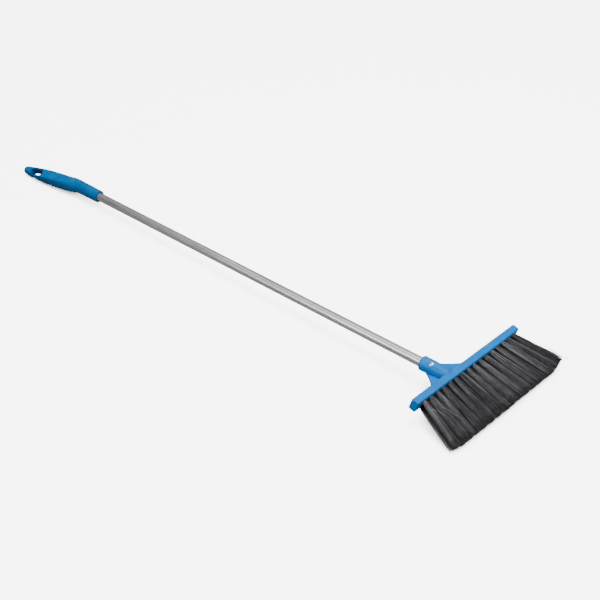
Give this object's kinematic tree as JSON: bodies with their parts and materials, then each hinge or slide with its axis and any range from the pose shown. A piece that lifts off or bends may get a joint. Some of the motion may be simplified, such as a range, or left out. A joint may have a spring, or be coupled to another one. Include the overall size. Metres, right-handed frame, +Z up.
{
  "type": "long-handled brush",
  "caption": "Long-handled brush: light metal tube with a curved hang-up grip and a wide angled plastic head set with long, soft dark bristle tufts.",
  "frame": {"origin": "centre of the footprint of the brush as it rests on a floor, on the floor", "axes": "+X along the tube from the grip to the head, +Y along the head block away from the end nearest the tube, +Z up; the tube rises 1.11 degrees towards the head because the bristle ends hold it up"},
  "size_m": [1.3501, 0.3398, 0.0589],
  "materials": {
    "tube": "drawn, satin, anodised",
    "grip": "moulded blue plastic, fine grain",
    "head": "moulded bright blue plastic, semi-gloss",
    "rivet": "bright",
    "rivet_pin": "dull, broken end",
    "bristle": "charcoal grey filaments, cut and flagged ends"
  },
  "bodies": {
    "root": {"tube": "tube", "grip": "grip", "head": "head", "rivet_body": "rivet", "rivet_mandrel": "rivet_pin", "tuft_upper_01": "bristle", "tuft_upper_02": "bristle", "tuft_upper_03": "bristle", "tuft_upper_04": "bristle", "tuft_upper_05": "bristle", "tuft_upper_06": "bristle", "tuft_upper_07": "bristle", "tuft_upper_08": "bristle", "tuft_upper_09": "bristle", "tuft_upper_10": "bristle", "tuft_upper_11": "bristle", "tuft_upper_12": "bristle", "tuft_upper_13": "bristle", "tuft_upper_14": "bristle", "tuft_upper_15": "bristle", "tuft_upper_16": "bristle", "tuft_middle_01": "bristle", "tuft_middle_02": "bristle", "tuft_middle_03": "bristle", "tuft_middle_04": "bristle", "tuft_middle_05": "bristle", "tuft_middle_06": "bristle", "tuft_middle_07": "bristle", "tuft_middle_08": "bristle", "tuft_middle_09": "bristle", "tuft_middle_10": "bristle", "tuft_middle_11": "bristle", "tuft_middle_12": "bristle", "tuft_middle_13": "bristle", "tuft_middle_14": "bristle", "tuft_middle_15": "bristle", "tuft_lower_01": "bristle", "tuft_lower_02": "bristle", "tuft_lower_03": "bristle", "tuft_lower_04": "bristle", "tuft_lower_05": "bristle", "tuft_lower_06": "bristle", "tuft_lower_07": "bristle", "tuft_lower_08": "bristle", "tuft_lower_09": "bristle", "tuft_lower_10": "bristle", "tuft_lower_11": "bristle", "tuft_lower_12": "bristle", "tuft_lower_13": "bristle", "tuft_lower_14": "bristle", "tuft_lower_15": "bristle", "tuft_lower_16": "bristle"}
  },
  "joints": []
}
